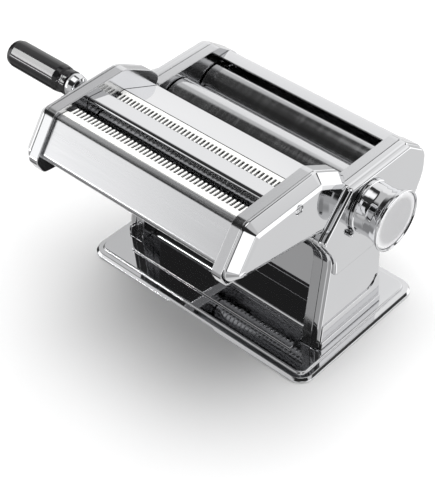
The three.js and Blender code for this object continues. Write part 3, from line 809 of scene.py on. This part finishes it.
def add_cheek(hand, side):
    """One end of the cutter: a frame whose tongue slides in the stand's guide, and a cover."""
    pan = profiled(CHEEK_FRAME, pan_profile(side))
    low, high, root = 4, 33, -8
    tongue = slab(slide_box(low, high, root, 6.5), side * 73.5, side * 75.5)
    web = slab(slide_box(low, high, root, -4.4), side * 75.4, side * 76.1)
    add(merged([pan, tongue, web]), f"cutter_{hand}_frame")
    holes = [(CHEEK_SCREW, 3.4)]
    if side < 0:
        holes += [(CUTTER_AXES[f"{pair}_cutter_driven"], 6.4) for pair in ("front", "rear")]
    cover = profiled(CHEEK_COVER, cover_profile(side), holes=holes, steps=10, least=2.5)
    add(cover, f"cutter_{hand}_cover")
    add_cheek_screw(hand, side)


def add_cheek_screw(hand, side):
    low, high, tail = SIDE_FACE - 1.3, SIDE_FACE - 0.4, SIDE_SEAM + 1
    screw = [
        (0, tail), (1.6, tail), (1.6, low, 0), (3.1, low), (3.1, high - 0.3, 0.3), (2.4, high, 0.3),
        (1.2, high, 0.1), (0.9, high - 0.5, 0.1), (0, high - 0.5),
    ]
    profile = [(radius, side * along, *fillet) for radius, along, *fillet in screw]
    add(turned(profile, CHEEK_SCREW, 48), f"cutter_{hand}_screw")


def comb_outline(width, gullet):
    """A comb laid flat, across the machine and from its root to its tips. Its gaps end at gullet."""
    pitch, count, half = 3.3, 45, 0.75
    corners = [(BETWEEN, 0, 0.3), (BETWEEN, gullet, 0.3)]
    for i in range(count - 1, -1, -1):
        x = (i - (count - 1) / 2) * pitch
        corners += [(x + half, gullet, 0.4), (x + half, width, 0.6)]
        corners += [(x - half, width, 0.6), (x - half, gullet, 0.4)]
    return corners + [(-BETWEEN, gullet, 0.3), (-BETWEEN, 0, 0.3)]


def add_comb(name, root, tips, tooth_length):
    root, tips = Vector(root), Vector(tips)
    along = (tips - root).normalized()
    normal = Vector((-along.y, along.x))
    width = (tips - root).length

    def place(u, v, depth):
        point = root + along * v + normal * depth
        return Vector((u, point.x, point.y)) * MM

    profile = [(0.28, -0.6), (0.08, -0.52), (0, -0.32), (0, 0.32), (0.08, 0.52), (0.28, 0.6)]
    add(profiled(comb_outline(width, width - tooth_length), profile, place, steps=2), name)


def add_cutter_sheets():
    front = [(-103.9, 161.9, 0), (-107.4, 161.2, 3), (-122.6, 139.2, 3), (-119.6, 134.4, 0)]
    bridge_corners = [(-80.4, 152.6, 0), (-79.2, 161.6, 2), (-65.3, 160.2, 2), (-64.3, 150.5, 0)]
    rear = [(-46.2, 150.6, 0), (-14, 136.8, 2), (-15, 133.8, 0)]
    add_sheet("cutter_front_plate", front, BETWEEN, finish="satin_chrome")
    add_sheet("cutter_bridge", bridge_corners, BETWEEN)
    add_sheet("cutter_rear_plate", rear, BETWEEN)
    add_comb("front_comb", (-103, 161.6), (-91, 160.6), 6.8)
    add_comb("rear_comb", (-46.8, 150.6), (-57.4, 150), 7)


def add_machine():
    add_base()
    add_feet_and_screws()
    for hand, side in SIDES:
        add_side_frame(hand, side)
        add_side_cover(hand, side)
        add_cheek(hand, side)
    add_stand_sheets()
    add_tie_rod("lower_tie_rod", 4, (-10, 40))
    add_tie_rod("rear_tie_rod", 3, (51, 83))
    add_tie_rod("cutter_tie_rod", 3, (-69.2, 127))
    add_stand_rollers()
    add_cutter_rollers()
    add_crank_socket()
    add_bearings()
    add_knob()
    add_spring()
    add_crank()
    add_cutter_sheets()


def finish_kept_nodes():
    """Gives the CAD nodes that are shown as they are this script's finishes."""
    for node, made in frame["nodes"].items():
        if made.hide_render:
            continue
        made.data.materials.clear()
        made.data.materials.append(FINISHES[slot_of_node[node]])


# ---- Stage ---------------------------------------------------------------------------------------

def add_floor():
    bm = bmesh.new()
    bmesh.ops.create_grid(bm, x_segments=1, y_segments=1, size=6.0)
    floor = make_object("floor", bm)
    floor.data.materials.append(make_material(
        "pale_floor", ((0.93, 0.93, 0.93), (0.95, 0.95, 0.95)), (0.7, 0.8),
        wave=(3, 0.0), grain=(40, 0.0), metallic=0))
    floor.visible_glossy = False


def add_light(name, location, target, size, watts, mirrored=True, only=None):
    """A soft box, in metres. only names the one piece that it lights. mirrored lets chrome show it."""
    data = bpy.data.lights.new(name, "AREA")
    data.shape = "RECTANGLE"
    data.size, data.size_y = size
    data.energy = watts
    light = bpy.data.objects.new(name, data)
    light.location = location
    light.visible_camera = False
    light.visible_glossy = mirrored
    if only:
        lit = bpy.data.collections.new(f"{name}_lit")
        lit.objects.link(bpy.data.objects[only])
        light.light_linking.receiver_collection = lit
    light.rotation_euler = (Vector(target) - Vector(location)).to_track_quat("-Z", "Y").to_euler()
    bpy.context.scene.collection.objects.link(light)


def facing(nodes, links, direction, towards, outer, inner):
    """A mask around one direction, from outer, the cosine where it starts, to inner, where it is full."""
    dot = nodes.new("ShaderNodeVectorMath")
    dot.operation = "DOT_PRODUCT"
    dot.inputs[1].default_value = Vector(towards).normalized()
    links.new(direction, dot.inputs[0])
    return scaled(nodes, links, dot.outputs["Value"], outer, inner)


def painted(nodes, links, below, brightness, masks):
    """Paints one brightness over what is below it, where all of the masks are 1."""
    while len(masks) > 1:
        times = nodes.new("ShaderNodeMath")
        times.operation = "MULTIPLY"
        links.new(masks.pop(), times.inputs[0])
        links.new(masks.pop(), times.inputs[1])
        masks.append(times.outputs["Value"])
    layer = nodes.new("ShaderNodeMix")
    layer.inputs["B"].default_value = brightness
    links.new(masks[0], layer.inputs["Factor"])
    links.new(below, layer.inputs["A"])
    return layer.outputs["Result"]


# What the chrome reflects: pale walls, a paler floor, and patches and bands painted over them.
WALL_BRIGHTNESS = 0.76
FLOOR_BRIGHTNESS = 0.95

# Each patch is (towards, inner half angle in degrees, outer half angle, brightness).
STUDIO_PATCHES = [
    ((-0.5, -0.56, -0.66), 18, 40, 0.45),
    ((0.60, -0.44, -0.66), 14, 24, 0.5),
    ((0.75, 0.08, -0.66), 10, 17, 1.6),
    ((0.1, 0.75, 0.65), 16, 40, 1.35),
    ((-0.51, 0.80, 0.30), 17, 24, 1.25),
    ((-0.82, -0.55, 0.15), 17, 27, 1.7),
    ((0.5, -0.84, 0.30), 20, 28, 0.02),
    ((0.5, -0.56, 0.66), 20, 30, 0.02),
    ((0.80, -0.59, 0.10), 10, 14, 1.7),
    ((0.97, -0.15, -0.18), 7, 11, 0.03),
    ((-0.08, 0.56, -0.83), 8, 13, 0.04),
    ((-0.52, -0.12, -0.85), 12, 18, 0.03),
    ((-1, 0.1, 0.1), 20, 28, 0.03),
    ((0.90, -0.25, 0.35), 12, 18, 0.03),
]

# Bands between two heights. Each is (fade of its lower edge, fade of its upper edge, brightness, side).
# side is (towards, where it starts to fade in, where it is full), or None for a band right round.
RIGHT_REAR = ((0.8, 0.6, 0), 0.62, 0.74)
FRONT_HALF = ((0, -1, 0), 0.1, 0.3)
STUDIO_BANDS = [
    ((-0.38, -0.28), (0.20, 0.10), 1.8, RIGHT_REAR),
    ((0.12, 0.17), (0.30, 0.24), 0.06, RIGHT_REAR),
    ((0.40, 0.50), (1.1, 1.0), 0.03, FRONT_HALF),
    ((0.76, 0.80), (0.93, 0.88), 0.05, None),
    ((0.90, 0.94), (1.1, 1.0), 1.6, None),
]


def add_surroundings():
    """A pale studio with soft boxes and dark cards, painted by direction for the chrome to reflect."""
    world = bpy.data.worlds.new("studio")
    bpy.context.scene.world = world
    world.use_nodes = True
    nodes, links = world.node_tree.nodes, world.node_tree.links
    direction = nodes.new("ShaderNodeTexCoord").outputs["Generated"]
    split = nodes.new("ShaderNodeSeparateXYZ")
    links.new(direction, split.inputs["Vector"])
    height = split.outputs["Z"]
    walls = nodes.new("ShaderNodeValue")
    walls.outputs["Value"].default_value = WALL_BRIGHTNESS
    floor = scaled(nodes, links, height, -0.25, -0.40)
    colour = painted(nodes, links, walls.outputs["Value"], FLOOR_BRIGHTNESS, [floor])
    for towards, inner, outer, brightness in STUDIO_PATCHES:
        limits = [math.cos(math.radians(angle)) for angle in (outer, inner)]
        mask = facing(nodes, links, direction, towards, *limits)
        colour = painted(nodes, links, colour, brightness, [mask])
    for bottom, top, brightness, side in STUDIO_BANDS:
        masks = [scaled(nodes, links, height, *bottom), scaled(nodes, links, height, *top)]
        if side:
            masks.append(facing(nodes, links, direction, *side))
        colour = painted(nodes, links, colour, brightness, masks)
    links.new(colour, nodes["Background"].inputs["Color"])


def add_camera():
    """The view that the photo was taken from, worked out from the photo."""
    azimuth = math.radians(42.14)
    aim, distance = Vector((0, -0.0437, 0.080)), 0.9482
    back = Vector((0.5055, -0.5587, 0.6575)).normalized()
    right = Vector((math.cos(azimuth), math.sin(azimuth), 0))
    up = back.cross(right)
    data = bpy.data.cameras.new("camera")
    data.lens = 101.56
    data.shift_x = 0.0135
    data.shift_y = -0.0616
    camera = bpy.data.objects.new("camera", data)
    bpy.context.scene.collection.objects.link(camera)
    turn = Matrix((right, up, back)).transposed().to_4x4()
    camera.matrix_world = Matrix.Translation(aim + back * distance) @ turn
    bpy.context.scene.camera = camera


add_machine()
finish_kept_nodes()
add_floor()
add_light("top", (-0.1, 0.1, 1.6), (0, 0, 0.08), (1.8, 1.6), 22, mirrored=False)
add_light("strip", (-1.12, -1.30, 0.14), (-0.16, -0.046, 0.13), (0.7, 0.10), 3.4)
add_light(
    "band", (-0.380, -0.230, 0.314), (-0.380, -0.046, 0.13), (0.085, 0.28), 1.1, only="crank_grip_piece")
add_surroundings()
add_camera()
bpy.context.scene.view_settings.view_transform = "Standard"
